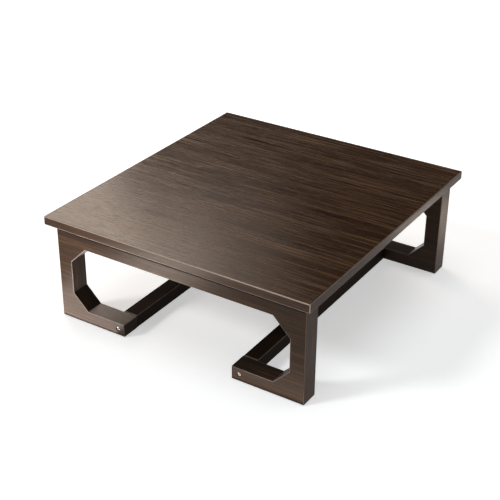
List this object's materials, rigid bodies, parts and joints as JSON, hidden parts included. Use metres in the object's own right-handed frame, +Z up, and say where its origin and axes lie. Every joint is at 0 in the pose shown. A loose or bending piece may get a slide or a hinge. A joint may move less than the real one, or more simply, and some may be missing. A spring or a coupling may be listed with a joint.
{
  "type": "low table",
  "caption": "Low floor table in dark walnut finish: flat banded top on cut-out leg frames whose feet turn inwards, tied together by floor rails, for sitting at on the floor.",
  "frame": {"origin": "on the floor, under the middle of the top", "axes": "+X to the right along the leg frames, +Y from the front leg frame to the back one, +Z up"},
  "size_m": [0.65, 0.7, 0.25],
  "materials": {
    "walnut_top_foil": "satin dark walnut, long straight grain along X",
    "walnut_frame_foil": "satin dark walnut, grain along X",
    "walnut_edge_band": "satin dark walnut, grain along the band",
    "stained_rail_wood": "satin dark walnut stain, grain along Y",
    "zinc_plated_steel": "bright zinc plate",
    "insert_brass": "turned",
    "beech_dowel": "raw beech, fluted",
    "pressed_felt": "pressed dark felt"
  },
  "bodies": {
    "root": {"tabletop_panel": "walnut_top_foil", "front_leg_frame": "walnut_frame_foil", "back_leg_frame": "walnut_frame_foil", "top_edge_band_front": "walnut_edge_band", "top_edge_band_back": "walnut_edge_band", "top_edge_band_left": "walnut_edge_band", "top_edge_band_right": "walnut_edge_band", "front_opening_band": "walnut_edge_band", "back_opening_band": "walnut_edge_band", "front_left_side_band": "walnut_edge_band", "front_left_foot_end_band": "walnut_edge_band", "front_right_side_band": "walnut_edge_band", "front_right_foot_end_band": "walnut_edge_band", "back_left_side_band": "walnut_edge_band", "back_left_foot_end_band": "walnut_edge_band", "back_right_side_band": "walnut_edge_band", "back_right_foot_end_band": "walnut_edge_band", "left_floor_rail": "stained_rail_wood", "right_floor_rail": "stained_rail_wood", "rail_bolts": "zinc_plated_steel", "top_bolts": "zinc_plated_steel", "rail_barrel_nuts": "zinc_plated_steel", "top_threaded_inserts": "insert_brass", "rail_dowels": "beech_dowel", "top_dowels": "beech_dowel", "felt_pads": "pressed_felt"}
  },
  "joints": []
}
